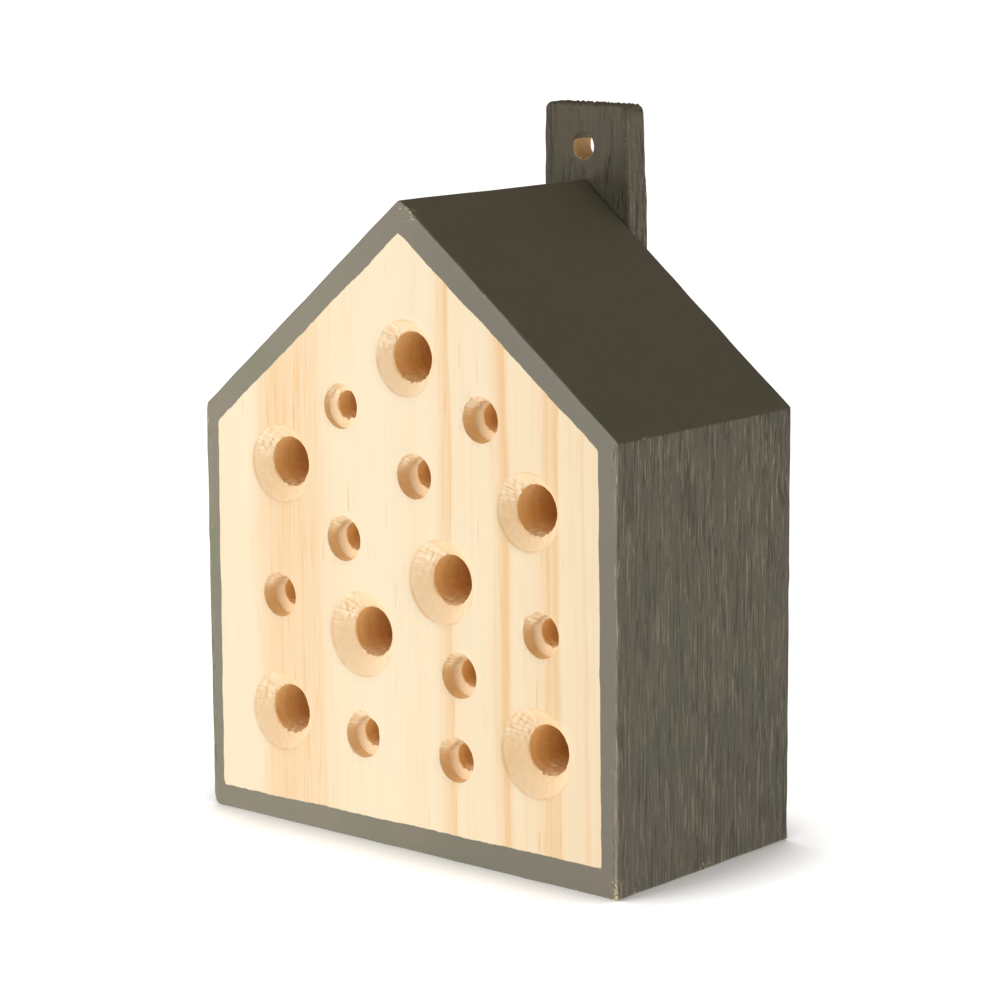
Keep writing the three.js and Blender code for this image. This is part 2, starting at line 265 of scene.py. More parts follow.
class Surface:
    """Points, faces and point values gathered for one mesh."""

    def __init__(self, value_names):
        self.points = []
        self.count = 0
        self.faces = []
        self.values = {name: [] for name in value_names}

    def add_points(self, points, **values):
        points = np.asarray(points, dtype=float)
        indices = np.arange(self.count, self.count + len(points))
        self.points.append(points)
        self.count += len(points)
        for name, chunks in self.values.items():
            chunks.append(np.broadcast_to(values.get(name, 0.0), len(points)).astype(float))
        return indices

    def add_rows(self, rows):
        """Quads between closed rows of point indices."""
        for row, following in zip(rows, rows[1:]):
            quads = np.stack([row, np.roll(row, -1), np.roll(following, -1), following], axis=1)
            self.faces.extend(map(tuple, quads.tolist()))

    def add_fan(self, row, apex):
        """Triangles from a closed row to one point."""
        for start, end in zip(row, np.roll(row, -1)):
            self.faces.append((int(start), int(end), int(apex)))

    def add_cap(self, loops, inner):
        """Triangles in the XZ plane between closed loops of indices, through the inner points. The
        first loop is the outside, and the others stay open."""
        chosen = np.concatenate(loops + [inner])
        places = np.concatenate(self.points)[chosen][:, [0, 2]] / MM
        edges, start = [], 0
        for loop in loops:
            ring = list(range(start, start + len(loop)))
            edges.extend(zip(ring, ring[1:] + ring[:1]))
            start += len(loop)
        triangles, origins = delaunay_2d_cdt([Vector(place) for place in places], edges, [], 1, 1e-7)[2:4]
        corners = np.array([[origins[corner][0] for corner in triangle] for triangle in triangles])
        middles = places[corners].mean(axis=1)
        solid = np.full(len(corners), True)
        start = len(loops[0])
        for loop in loops[1:]:
            solid &= ~inside_ring(middles, places[start:start + len(loop)])
            start += len(loop)
        self.faces.extend(map(tuple, chosen[corners[solid]].tolist()))

    def build(self, name, material, sharp_angle):
        """The finished object, with the point values as attributes."""
        mesh = bpy.data.meshes.new(name)
        mesh.from_pydata(np.concatenate(self.points), [], self.faces)
        for value_name, chunks in self.values.items():
            attribute = mesh.attributes.new(value_name, "FLOAT", "POINT")
            attribute.data.foreach_set("value", np.concatenate(chunks))
        tidy = bmesh.new()
        tidy.from_mesh(mesh)
        bmesh.ops.recalc_face_normals(tidy, faces=tidy.faces)
        tidy.to_mesh(mesh)
        tidy.free()
        mesh.shade_smooth()
        mesh.set_sharp_from_angle(angle=sharp_angle)
        mesh.materials.append(material)
        piece = bpy.data.objects.new(name, mesh)
        bpy.context.scene.collection.objects.link(piece)
        return piece


def inside_ring(places, ring):
    """Which places are inside a ring of points that runs once round its middle."""
    middle = (ring.min(axis=0) + ring.max(axis=0)) / 2
    spokes, offsets = ring - middle, places - middle
    turns = np.arctan2(spokes[:, 1], spokes[:, 0])
    order = np.argsort(turns)
    reach = np.hypot(spokes[:, 0], spokes[:, 1])[order]
    reach = np.interp(np.arctan2(offsets[:, 1], offsets[:, 0]), turns[order], reach, period=2 * math.pi)
    return np.hypot(offsets[:, 0], offsets[:, 1]) < reach


def inner_points(corners, margin, spacing, holes, seed):
    """Jittered (x, z) points in metres, at least margin inside a convex outline and clear of the holes."""
    low, high = np.min(corners, axis=0), np.max(corners, axis=0)
    columns = np.arange(low[0], high[0], spacing[0])
    rows = np.arange(low[1], high[1], spacing[1])
    grid = np.array([(x + (index % 2) * spacing[0] / 2, z) for index, z in enumerate(rows) for x in columns])
    grid += np.random.default_rng(seed).uniform(-0.15, 0.15, grid.shape) * spacing
    keep = distance_inside(grid, corners) > margin
    for x, z, radius in holes:
        clear = radius * MM + max(0.5 * MM, min(spacing) * 0.7)
        keep &= np.hypot(grid[:, 0] - x * MM, grid[:, 1] - z * MM) > clear
    return grid[keep]


# ================ shared shapes

EDGE_ANGLES = np.radians([0, 22.5, 45, 67.5, 90])
WEAR_REACH = 0.8 * MM


def edge_radii(outline, radius, sway, waves):
    """The radius of the rounded edge at each outline point: sanded edges aren't quite even."""
    return (radius / MM + sway * waves(at_depth(outline, 0.0))) * MM


def corner_closeness(points, normals):
    """1 where the outline turns a corner, falling to 0 along its straight runs."""
    turning = np.linalg.norm(np.roll(normals, -1, axis=0) - np.roll(normals, 1, axis=0), axis=1) > 0.02
    corners = points[turning]
    nearest = np.min(np.linalg.norm(points[:, None] - corners[None], axis=2), axis=1)
    return np.exp(-nearest / WEAR_REACH)


def sweep_rows(surface, outline, normals, span, radii, row_spacing, shape):
    """Runs an outline from the front to the back with rounded edges. span is (near, far) in Y, radii
    are the edge radius at each outline point, and shape bends a row and returns its point values."""
    near, far = span
    closeness = corner_closeness(outline, normals)
    setbacks = []
    for angle in EDGE_ANGLES:
        setbacks.append((near + radii * (1 - math.cos(angle)), radii * (1 - math.sin(angle)), 1.0))
    inner_near, inner_far = near + radii, far - radii
    steps = round((far - near) / row_spacing)
    for step in range(1, steps):
        share = step / steps
        wear = math.exp(-min(share, 1 - share) * (far - near) / WEAR_REACH)
        setbacks.append((inner_near + (inner_far - inner_near) * share, 0 * radii, wear))
    for angle in EDGE_ANGLES[::-1]:
        setbacks.append((far - radii * (1 - math.cos(angle)), radii * (1 - math.sin(angle)), 1.0))
    rows = []
    for y, inset, wear in setbacks:
        points = at_depth(outline - normals * inset[:, None], y)
        points, values = shape(points, at_depth(normals, 0.0))
        rows.append(surface.add_points(points, edge=np.maximum(wear, closeness), **values))
    surface.add_rows(rows)
    return rows


def chip_profile(angles, chips, seed):
    """How far splintered-out patches widen a rim at each angle, in millimetres."""
    reach = np.zeros(len(angles))
    random = np.random.default_rng(seed)
    for centre, half_width, size in chips:
        away = (np.degrees(angles) - centre + 180) % 360 - 180
        bump = 1 - smooth_step(np.abs(away) / half_width, 0.45, 1)
        jags = 0.45 + 0.55 * random.uniform(0, 1, len(angles))
        reach = np.maximum(reach, size * bump * jags)
    return reach


def tearing(angles, drilled):
    """Where the drill tears the upright fibres instead of cutting them: up left and down right on the
    open cones, along the top of the steps and along the bottom of the bores."""
    if drilled > BORE_LEVEL:
        return smooth_step(-np.sin(angles - math.radians(15)), 0.3, 0.95)
    if drilled > STEP_LEVEL:
        return smooth_step(np.sin(angles - math.radians(20)), 0.3, 0.9)
    upper = np.where(np.sin(angles) > 0, 1, 0.45)
    return np.clip(-np.sin(2 * angles), 0, 1) * upper * min(1, drilled * 2)


def bored_rows(surface, place, profile, sides, mouth, seed, chips=(), facing=1):
    """Rows of points down a hole. profile holds (radius, depth, drilled, roughness) in millimetres,
    mouth holds the point values of the first row, and facing is 1 for a hole that goes towards +Y."""
    x, y, z = place
    angles = np.linspace(0, 2 * math.pi, sides, endpoint=False)
    fibres = Waves(seed, 70, (0.25, 0.2, 0.05), (0.85, 0.8, 0.45))
    chip = chip_profile(angles, chips, seed + 1)
    turn = angles * profile[0][0] + seed
    rows = []
    for index, (radius, depth, drilled, roughness) in enumerate(profile):
        around = np.stack([np.cos(angles), 0 * angles, np.sin(angles)], axis=1)
        points = around * radius * MM
        points[:, 1] = facing * depth * MM
        points += (x, y, z)
        torn = tearing(angles, drilled)
        amount = roughness * (0.25 + torn) * fibres(points)
        if drilled == CUT_STEP:
            amount -= TORN_LEAN * torn * smooth_step(depth, 0, TORN_LEAN_DEPTH)
        amount += chip * math.exp(-depth / CHIP_DEPTH)
        points += around * amount[:, None] * MM
        values = mouth if index == 0 else {"border": BARE}
        row = surface.add_points(points, drilled=drilled, torn=torn, depth=depth, around=turn, **values)
        rows.append(row)
    surface.add_rows(rows)
    return rows


def close_hole(surface, place, rows, depth, facing=1):
    """Closes the end of a blind hole at a depth in millimetres."""
    x, y, z = place
    tip = [(x, y + facing * depth * MM, z)]
    apex = surface.add_points(tip, drilled=CUT_BORE, border=BARE, depth=depth)[0]
    surface.add_fan(rows[-1], apex)


# ================ the drilled block

def hole_centres():
    """The drilled holes' axes as (x, z) in metres, from the openings that the record states."""
    centres = {}
    for opening in frame["record"]["physics"]["openings"]:
        low, high = opening["box_m"]
        centres[opening["name"]] = ((low[0] + high[0]) / 2, (low[2] + high[2]) / 2)
    return centres


def turning_marks(depths, radius):
    """Rows of a profile down a bore, with the shallow steps that the drill leaves."""
    marks = sum(np.sin(depths * 2 * math.pi / spacing + start) * height
                for spacing, height, start in TURNING_MARKS)
    return [(radius + mark, depth, CUT_BORE, 0.12) for mark, depth in zip(marks, depths)]


def bore_profile(radius, start, fine_end):
    """From just under the mouth to the drill point, fine where it shows."""
    profile = [(radius + 0.15, start - 0.12, 0.6, 0.16), (radius, start + 0.1, 0.95, 0.14)]
    profile += turning_marks(np.arange(start + 0.5, fine_end, 0.5), radius)
    profile += [(radius, fine_end + depth, CUT_BORE, 0.05) for depth in (1, 4, 10, 18)]
    point_start = NEST_DEPTH - radius * DRILL_POINT_SLOPE
    profile.append((radius, point_start, CUT_BORE, 0.03))
    for share in (0.97, 0.6, 0.25):
        profile.append((radius * share, NEST_DEPTH - radius * share * DRILL_POINT_SLOPE, CUT_BORE, 0.03))
    return profile


def wide_profile(rim):
    """A 90 degree countersink above its bore."""
    rim_radius, bore_radius = rim / 2, WIDE_BORE / 2
    sink = rim_radius - bore_radius
    profile = [(rim_radius + 0.12, 0, 0.0, 0), (rim_radius, 0.07, 0.25, 0.05)]
    profile.append((rim_radius - 0.3, 0.35, 0.35, 0.1))
    for depth in np.arange(0.6, sink - 0.2, 0.3):
        profile.append((rim_radius - depth, depth, CUT_CONE, 0.15))
    return profile + bore_profile(bore_radius, sink, 14)


def stepped_profile(step):
    """A larger drill's short bore and its conical shoulder above the small bore."""
    rim_radius, bore_radius = STEPPED_RIM / 2, STEPPED_BORE / 2
    shoulder = (rim_radius - bore_radius) * DRILL_POINT_SLOPE
    profile = [(rim_radius + 0.1, 0, 0.0, 0), (rim_radius + 0.02, 0.06, 0.35, 0.05)]
    for depth in np.arange(0.3, step - 0.05, 0.4):
        profile.append((rim_radius, depth, CUT_STEP, 0.09))
    profile.append((rim_radius, step, CUT_STEP, 0.04))
    for share in (0.06, 0.3, 0.55, 0.8):
        radius = rim_radius + (bore_radius - rim_radius) * share
        profile.append((radius, step + shoulder * share, CUT_CONE, 0.08))
    return profile + bore_profile(bore_radius, step + shoulder, 11)


def nesting_holes():
    """Each hole's name, centre, profile and number of sides."""
    holes = []
    for name, centre in hole_centres().items():
        kind, _, number = name.rpartition("_")
        if kind == "wide_hole":
            holes.append((name, centre, wide_profile(WIDE_RIMS[int(number)]), WIDE_SIDES))
        elif kind == "stepped_hole":
            holes.append((name, centre, stepped_profile(STEP_DEPTHS[int(number)]), STEPPED_SIDES))
    return holes


def block_corners():
    """The house shape as (x, z, corner radius), anticlockwise as seen from the front."""
    half, left, right = BLOCK_HALF_WIDTH, LEFT_CORNER_RADIUS, RIGHT_CORNER_RADIUS
    return [(-half, 0, left), (half, 0, right), (half, RIGHT_EAVE_HEIGHT, right),
            (0, RIDGE_HEIGHT, RIDGE_RADIUS), (-half, LEFT_EAVE_HEIGHT, left)]


def chipped(points):
    """How close each point is to a place where the paint has chipped, from 0 to 1."""
    share = np.zeros(len(points))
    for x, depth, z, reach in PAINT_CHIPS:
        spot = np.array([x * MM, FRONT_Y + depth * MM, z * MM])
        away = np.linalg.norm(points - spot, axis=1) / (reach * MM)
        share = np.maximum(share, np.exp(-away ** 2))
    return share


def front_painted_shade(points):
    """Painted shade on the front rim, where the light falls off: darker to the right and up the right slope.
    """
    x, z = points[:, 0] / MM, points[:, 2] / MM
    return smooth_step(x, -35, 25) * (0.7 + 0.3 * smooth_step(z, 90, 115))


def taper_right_half(points):
    """Draws the right half in towards the back, as it was planed."""
    way_back = (points[:, 1] - FRONT_Y) / (BACK_Y - FRONT_Y)
    share = 1 - way_back * RIGHT_SIDE_TAPER / BLOCK_HALF_WIDTH
    points[:, 0] *= np.where(points[:, 0] > 0, share, 1)
    return points


class RaisedGrain:
    """Weathered ridges that run up the painted sides, wandering a little as they rise."""

    def __init__(self, seed):
        self.wander = Waves(seed, 12, (0, 0.01, 0.01), (0.02, 0.03, 0.03))
        self.broad = Waves(seed + 1, 24, (0.2, 0.2, 0.001), (0.5, 0.5, 0.006))
        self.fine = Waves(seed + 2, 40, (0.55, 0.55, 0.002), (1.1, 1.1, 0.02))

    def __call__(self, points):
        bent = points + self.wander(points)[:, None] * np.array([0.8, 0.8, 0]) * MM
        return 0.55 * self.broad(bent) + 0.6 * self.fine(bent)


def block_row_shape(grain, dips):
    """How one row round the block is bent: tapered, ridged up its sides and slightly dipped elsewhere."""
    def shape(points, outwards):
        taper_right_half(points)
        upright = smooth_step(np.abs(outwards[:, 0]), 0.7, 0.98)
        height = points[:, 2] / MM
        way_back = (points[:, 1] - FRONT_Y) / (BACK_Y - FRONT_Y)
        relief = grain(points) * upright
        lift = relief * 0.11 - 0.1 * upright + dips(points) * 0.06 * (1 - upright) - 0.04
        # The sides weather more towards the top and back; the pale streaks that gather there are partly
        # painted sheen.
        weathering_and_sheen = 0.4 + 0.35 * smooth_step(height, 35, 95) + 0.25 * way_back
        front_share = 1 - smooth_step(way_back, 0, 0.01)
        # Painted shade: the sides darken towards the bottom.
        low_side_shade = 0.55 * upright * (1 - smooth_step(height, 10, 60))
        values = {"relief": relief, "border": PAINTED, "weathered": 0.06 + 0.94 * upright * weathering_and_sheen,
                  "coat": front_painted_shade(points) * front_share + low_side_shade * (1 - front_share),
                  "chipped": chipped(points)}
        placed = points + outwards * lift[:, None] * MM
        placed[:, 2] = np.maximum(placed[:, 2], FLOOR_GAP)
        return placed, values
    return shape


def rim_value(points):
    """Millimetres outside the bare part of the front face; paint covers what is above zero."""
    return -distance_inside(points[:, [0, 2]] / MM, RIM_CORNERS)


def block_front(surface, edge_loop, boundary):
    """The drilled front face, and the walls of its holes."""
    loops, circles = [edge_loop], []
    for index, (name, (x, z), profile, sides) in enumerate(nesting_holes()):
        place = (x, FRONT_Y, z)
        mouth = {"border": rim_value(np.array([place]))[0]}
        chips = RIM_CHIPS.get(name, ())
        seed = SEEDS["nesting_holes"] + 10 * index
        rows = bored_rows(surface, place, profile, sides, mouth, seed, chips)
        close_hole(surface, place, rows, NEST_DEPTH)
        loops.append(rows[0])
        circles.append((x / MM, z / MM, profile[0][0]))
    corners = [corner[:2] for corner in block_corners()]
    grid = inner_points(corners, BLOCK_FACE_MARGIN, FRONT_GRID, circles, SEEDS["front"])
    middle = boundary.mean(axis=0)
    ring = middle + (boundary - middle) * (1 - FRONT_RING_INSET)
    places = np.concatenate([grid, ring])
    points = at_depth(places, FRONT_Y)
    from_edge = np.maximum(distance_inside(places, corners), 0)
    # The painted rim on the front face darkens with painted shade towards the right.
    inner = surface.add_points(points, border=rim_value(points), edge=np.exp(-from_edge / WEAR_REACH),
                               coat=front_painted_shade(points), chipped=chipped(points))
    surface.add_cap(loops, inner)


def screw_middle(name):
    low, high = (Vector(corner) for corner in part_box(name))
    return (low + high) / 2


def block_back(surface, edge_loop):
    """The back face, with the holes that the slat's screws bite into."""
    loops, circles = [edge_loop], []
    for index, name in enumerate(SCREW_NAMES):
        middle = screw_middle(name)
        depth = (BACK_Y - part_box(name)[0][1]) / MM + 0.3
        place = (middle.x, BACK_Y, middle.z)
        profile = [(SHANK_MOUTH_RADIUS, 0, CUT_CONE, 0), (SHANK_HOLE_RADIUS, 0.1, CUT_BORE, 0),
                   (SHANK_HOLE_RADIUS, depth - 0.5, CUT_BORE, 0.02)]
        seed = SEEDS["screw_holes"] + index
        rows = bored_rows(surface, place, profile, 32, {"border": PAINTED}, seed, facing=-1)
        close_hole(surface, place, rows, depth, facing=-1)
        loops.append(rows[0])
        circles.append((middle.x / MM, middle.z / MM, SHANK_MOUTH_RADIUS))
    corners = np.array([(x, BACK_Y, z) for x, z, _ in block_corners()])
    corners = [tuple(corner) for corner in taper_right_half(corners)[:, [0, 2]]]
    grid = inner_points(corners, BLOCK_FACE_MARGIN, BACK_GRID, circles, SEEDS["back"])
    inner = surface.add_points(at_depth(grid, BACK_Y), border=PAINTED)
    surface.add_cap(loops, inner)


def drilled_block(material):
    """The block with its weathered sides, its sixteen holes and the holes for the slat's screws."""
    surface = Surface(VALUE_NAMES)
    outline, normals = rounded_outline(block_corners(), BLOCK_OUTLINE_STEP)
    sanding = Waves(SEEDS["block_edge"], 20, (0.02, 0, 0.02), (0.12, 0, 0.12))
    radii = edge_radii(outline, BLOCK_EDGE_RADIUS, 0.1, sanding)
    dips = Waves(SEEDS["block_dips"], 24, (0.01, 0.01, 0.01), (0.07, 0.07, 0.07))
    shape = block_row_shape(RaisedGrain(SEEDS["block_grain"]), dips)
    rows = sweep_rows(surface, outline, normals, (FRONT_Y, BACK_Y), radii, BLOCK_ROW_STEP, shape)
    placed = np.concatenate(surface.points)
    block_front(surface, rows[0], placed[rows[0]][:, [0, 2]])
    block_back(surface, rows[-1])
    return surface.build("drilled_block_carved", material, BLOCK_SHARP_ANGLE)


# ================ the hanging slat

def slat_corners():
    """The slat's outline as (x, z, corner radius), anticlockwise as seen from the front."""
    low, high = SLAT_LOW.z, SLAT_HIGH.z
    return [(SLAT_LOW.x, low, SLAT_FOOT_RADIUS), (SLAT_HIGH.x, low, SLAT_FOOT_RADIUS),
            (SLAT_HIGH.x, SLAT_SHOULDER_HEIGHT, SLAT_SHOULDER_RADIUS),
            (SLAT_TOP_RIGHT_X, high, SLAT_TOP_RADIUS), (SLAT_TOP_LEFT_X, high, SLAT_TOP_RADIUS)]


def slat_row_shape(grain, ragged):
    """How one row round the slat is bent: ridged up its sides and ragged along its sawn top."""
    def shape(points, outwards):
        relief = grain(points) * np.clip(np.abs(outwards[:, 0]), 0, 1)
        lift = relief * 0.14 - 0.05
        points = points + outwards * lift[:, None] * MM
        sawn = smooth_step(outwards[:, 2], 0.8, 1)
        tears = ragged(points)
        points[:, 2] += sawn * (np.where(tears > 0.5, 0.25, tears * 0.25) - 0.2) * MM
        upright = np.abs(outwards[:, 0])
        # Pale flaked patches down the slat's sides, fewer at the top: partly flaked paint, partly painted
        # glints.
        flaky = upright * (1 - 0.75 * smooth_step(points[:, 2] / MM, 138, 153))
        return points, {"relief": relief, "border": PAINTED, "weathered": 0.22 + 0.5 * upright,
                        "flaky": flaky, "chipped": chipped(points)}
    return shape


def slat_holes(surface):
    """Through holes as (front row, back row, circle at the front, circle at the back)."""
    thickness = (SLAT_HIGH.y - SLAT_LOW.y) / MM
    radius = HANGING_HOLE["radius"] / MM
    hanging = [(radius + 0.15, 0, 0.0, 0), (radius, 0.25, 0.6, 0.15), (radius, 0.6, 0.95, 0.3)]
    hanging += [(radius, depth, 0.95, 0.3) for depth in np.arange(0.9, thickness - 0.5, 0.4)]
    hanging += [(radius + 0.1, thickness - 0.2, 0.6, 0.12), (radius + 0.3, thickness, 0.0, 0)]
    places = [((HANGING_HOLE["x"], SLAT_LOW.y, HANGING_HOLE["z"]), hanging, 64, HANGING_CHIPS)]
    seat = thickness - HEAD_RECESS
    for name in SCREW_NAMES:
        middle = screw_middle(name)
        shank = [(SHANK_HOLE_RADIUS, 0, CUT_CONE, 0), (SHANK_HOLE_RADIUS, 0.3, CUT_BORE, 0.02),
                 (SHANK_HOLE_RADIUS, seat - COUNTERSINK_DEPTH, CUT_BORE, 0.02)]
        head = [(HEAD_HOLE_RADIUS, seat, CUT_BORE, 0.02),
                (HEAD_HOLE_RADIUS, thickness - 0.1, CUT_CONE, 0.02), (HEAD_MOUTH_RADIUS, thickness, 0.0, 0)]
        places.append(((middle.x, SLAT_LOW.y, middle.z), shank + head, 40, []))
    holes = []
    for index, (place, profile, sides, chips) in enumerate(places):
        seed = SEEDS["slat_holes"] + 10 * index
        rows = bored_rows(surface, place, profile, sides, {"border": PAINTED_RIM}, seed, chips)
        circles = [(place[0] / MM, place[2] / MM, profile[end][0] + 0.4) for end in (0, -1)]
        surface.values["border"][-1][:] = PAINTED_RIM
        if index == 0:
            paint_hole_mouth(surface, len(rows))
        holes.append((rows[0], rows[-1], circles[0], circles[1]))
    return holes


def paint_hole_mouth(surface, row_count):
    """Paints the top of the hole whose rows were added last."""
    for row in surface.values["border"][-row_count:]:
        angles = np.linspace(0, 2 * math.pi, len(row), endpoint=False)
        row[:] = np.maximum(row, (np.sin(angles) - PAINTED_MOUTH) * MOUTH_SLOPE)


def slat_face(surface, edge_loop, hole_rows, circles, y, outwards, grain, seed):
    """The front or back of the slat, with its grain worn into shallow ridges."""
    corners = [corner[:2] for corner in slat_corners()]
    grid = inner_points(corners, SLAT_FACE_MARGIN, SLAT_GRID, circles, seed)
    points = at_depth(grid, y)
    relief = grain(points)
    clear = smooth_step(distance_inside(grid, corners) / MM, 1, 2)
    for x, z, radius in circles:
        clear *= smooth_step(np.hypot(grid[:, 0] / MM - x, grid[:, 1] / MM - z) - radius, 0.2, 1.0)
    points[:, 1] += outwards * (relief * 0.06 - 0.06) * clear * MM
    inner = surface.add_points(points, border=PAINTED, relief=relief * clear, weathered=0.22)
    surface.add_cap([edge_loop, *hole_rows], inner)


def hanging_slat(material):
    """The slat with its hanging hole and the holes for its screws."""
    surface = Surface(VALUE_NAMES)
    outline, normals = rounded_outline(slat_corners(), SLAT_OUTLINE_STEP)
    sanding = Waves(SEEDS["slat_edge"], 20, (0.05, 0, 0.03), (0.3, 0, 0.15))
    radii = edge_radii(outline, SLAT_EDGE_RADIUS, 0.15, sanding)
    grain = RaisedGrain(SEEDS["slat_grain"])
    shape = slat_row_shape(grain, Waves(SEEDS["slat_top"], 40, (0.3, 0.2, 0), (1.3, 0.8, 0)))
    rows = sweep_rows(surface, outline, normals, (SLAT_LOW.y, SLAT_HIGH.y), radii, SLAT_ROW_STEP, shape)
    front_rows, back_rows, front_circles, back_circles = zip(*slat_holes(surface))
    slat_face(surface, rows[0], front_rows, front_circles, SLAT_LOW.y, -1, grain, SEEDS["slat_front"])
    slat_face(surface, rows[-1], back_rows, back_circles, SLAT_HIGH.y, 1, grain, SEEDS["slat_back"])
    return surface.build("hanging_slat_carved", material, SLAT_SHARP_ANGLE)


# ================ material helpers

class Shader:
    """A node material under construction, with short calls for the nodes used here."""

    def __init__(self, name):
        self.material = bpy.data.materials.new(name)
        self.material.use_nodes = True
        self.tree = self.material.node_tree
        self.tree.nodes.clear()

    def add(self, kind, inputs=None, output=0, **settings):
        node = self.tree.nodes.new(kind)
        for setting, value in settings.items():
            setattr(node, setting, value)
        for key, value in (inputs or {}).items():
            if isinstance(value, bpy.types.NodeSocket):
                self.tree.links.new(value, node.inputs[key])
            else:
                node.inputs[key].default_value = value
        return node.outputs[output]

    def value(self, attribute):
        return self.add("ShaderNodeAttribute", output="Fac", attribute_name=attribute)

    def math(self, operation, first, second=0.0, clamp=False):
        return self.add("ShaderNodeMath", {0: first, 1: second}, operation=operation, use_clamp=clamp)

    def plus(self, first, second):
        return self.math("ADD", first, second)

    def minus(self, first, second):
        return self.math("SUBTRACT", first, second)

    def times(self, first, second):
        return self.math("MULTIPLY", first, second)

    def swing(self, value, amount):
        """Turns noise about a half into noise about zero, amount times as strong."""
        return self.times(self.minus(value, 0.5), amount)

    def step(self, value, start, end, low=0.0, high=1.0):
        inputs = {"Value": value, "From Min": start, "From Max": end, "To Min": low, "To Max": high}
        return self.add("ShaderNodeMapRange", inputs, interpolation_type="SMOOTHSTEP")

    def place(self):
        """Object coordinates in millimetres."""
        coordinates = self.add("ShaderNodeTexCoord", output="Object")
        return self.add("ShaderNodeVectorMath", {0: coordinates, "Scale": 1 / MM}, operation="SCALE")

    def noise(self, place, frequency, detail=2.0, roughness=0.5, distortion=0.0):
        """Noise with its own frequency along x, y and z, in cycles per millimetre."""
        stretched = self.add("ShaderNodeVectorMath", {0: place, 1: frequency}, operation="MULTIPLY")
        inputs = {"Vector": stretched, "Scale": 1.0, "Detail": detail, "Roughness": roughness,
                  "Distortion": distortion}
        return self.add("ShaderNodeTexNoise", inputs)

    def mix(self, share, first, second):
        """Mixes two numbers."""
        return self.add("ShaderNodeMix", {0: share, 2: first, 3: second}, data_type="FLOAT")

    def blend(self, share, first, second):
        """Mixes two colours."""
        return self.add("ShaderNodeMix", {0: share, 6: first, 7: second}, output=2, data_type="RGBA")

    def profile(self, value, stops):
        """A grey level looked up in a list of (value, level) stops."""
        low, high = stops[0][0], stops[-1][0]
        share = self.step_linear(value, low, high)
        node = self.tree.nodes.new("ShaderNodeValToRGB")
        self.tree.links.new(share, node.inputs[0])
        elements = node.color_ramp.elements
        elements[0].position, elements[0].color = 0, grey(stops[0][1])
        elements[1].position, elements[1].color = 1, grey(stops[-1][1])
        for stop, level in stops[1:-1]:
            elements.new((stop - low) / (high - low)).color = grey(level)
        return node.outputs[0]

    def step_linear(self, value, start, end):
        return self.add("ShaderNodeMapRange", {"Value": value, "From Min": start, "From Max": end})

    def finish(self, surface):
        output = self.tree.nodes.new("ShaderNodeOutputMaterial")
        self.tree.links.new(surface, output.inputs["Surface"])
        return self.material


def grey(level):
    return (level, level, level, 1)


# ================ wood and paint

# Colours are linear red, green and blue.
EARLY_WOOD = (0.735, 0.62, 0.44, 1)
LATE_WOOD = (0.69, 0.455, 0.235, 1)
RESIN_DASH = (0.55, 0.31, 0.15, 1)
CUT_WOOD = (0.90, 0.67, 0.415, 1)
# A burnished line at the rims, and also the colour of painted shade between torn fibres.
BURNISH_AND_FIBRE_SHADE = (0.70, 0.41, 0.17, 1)
BORE_WOOD = (0.94, 0.61, 0.27, 1)
# Deep down the bores: burnt wood and painted shade.
DEEP_BURN_AND_SHADE = (0.70, 0.37, 0.12, 1)
TORN_WOOD = (0.92, 0.73, 0.49, 1)
PALE_FIBRE = (0.97, 0.86, 0.67, 1)
WORN_WOOD = (0.50, 0.42, 0.25, 1)
BLOCK_PAINT = (0.172, 0.159, 0.113, 1)
SLAT_PAINT = (0.205, 0.186, 0.138, 1)
# The dark splits in the paint, and also the colour of painted shade.
CRACK_AND_SHADE = (0.05, 0.044, 0.034, 1)
# Pale streaks of bare grain, partly painted sheen.
DRY_STREAK_AND_SHEEN = (0.50, 0.44, 0.31, 1)
# Pale flaked paint, partly painted glints.
FLAKE_AND_GLINT = (0.66, 0.60, 0.46, 1)

# How strongly the late wood shows across the front face, from left to right in millimetres.
GRAIN_BANDS = [
    (-62, 0.08), (-47, 0.0), (-44.5, 0.12), (-42.4, 0.45), (-37, 0.62), (-30, 0.52), (-25, 0.42),
    (-23.5, 0.2), (-19, 0.08), (-4, 0.0), (4.5, 0.1), (8, 0.0), (10.3, 0.12), (12.4, 0.5),
    (14.2, 0.78), (14.9, 0.12), (24.5, 0.06), (27.2, 0.35), (28.4, 0.7), (29.7, 1.1), (30.6, 0.3),
    (32, 0.08), (39.5, 0.3), (41.4, 0.85), (42.1, 0.6), (43.9, 0.75), (44.8, 0.12), (50.6, 0.2),
    (51.4, 0.6), (52, 0.15), (58, 0.25),
]
GRAIN_LEAN = 0.015
GRAIN_DIVE = 0.5


def band_place(shader, place):
    """The place across the grain, in millimetres: bands lean, wander and dive away from the middle."""
    axes = shader.tree.nodes.new("ShaderNodeSeparateXYZ")
    shader.tree.links.new(place, axes.inputs[0])
    x, y, z = axes.outputs
    depth = shader.minus(y, FRONT_Y / MM)
    outwards = shader.step(x, -10.0, 10.0, -GRAIN_DIVE, GRAIN_DIVE)
    dive = shader.times(depth, outwards)
    lean = shader.times(shader.minus(z, 60.0), GRAIN_LEAN)
    wander = shader.swing(shader.noise(place, (0.035, 0.035, 0.018), 1.0), 3.0)
    flutter = shader.swing(shader.noise(place, (0.25, 0.25, 0.06), 2.0), 0.9)
    total = shader.plus(x, dive)
    for shift in (lean, wander, flutter):
        total = shader.plus(total, shift)
    return total


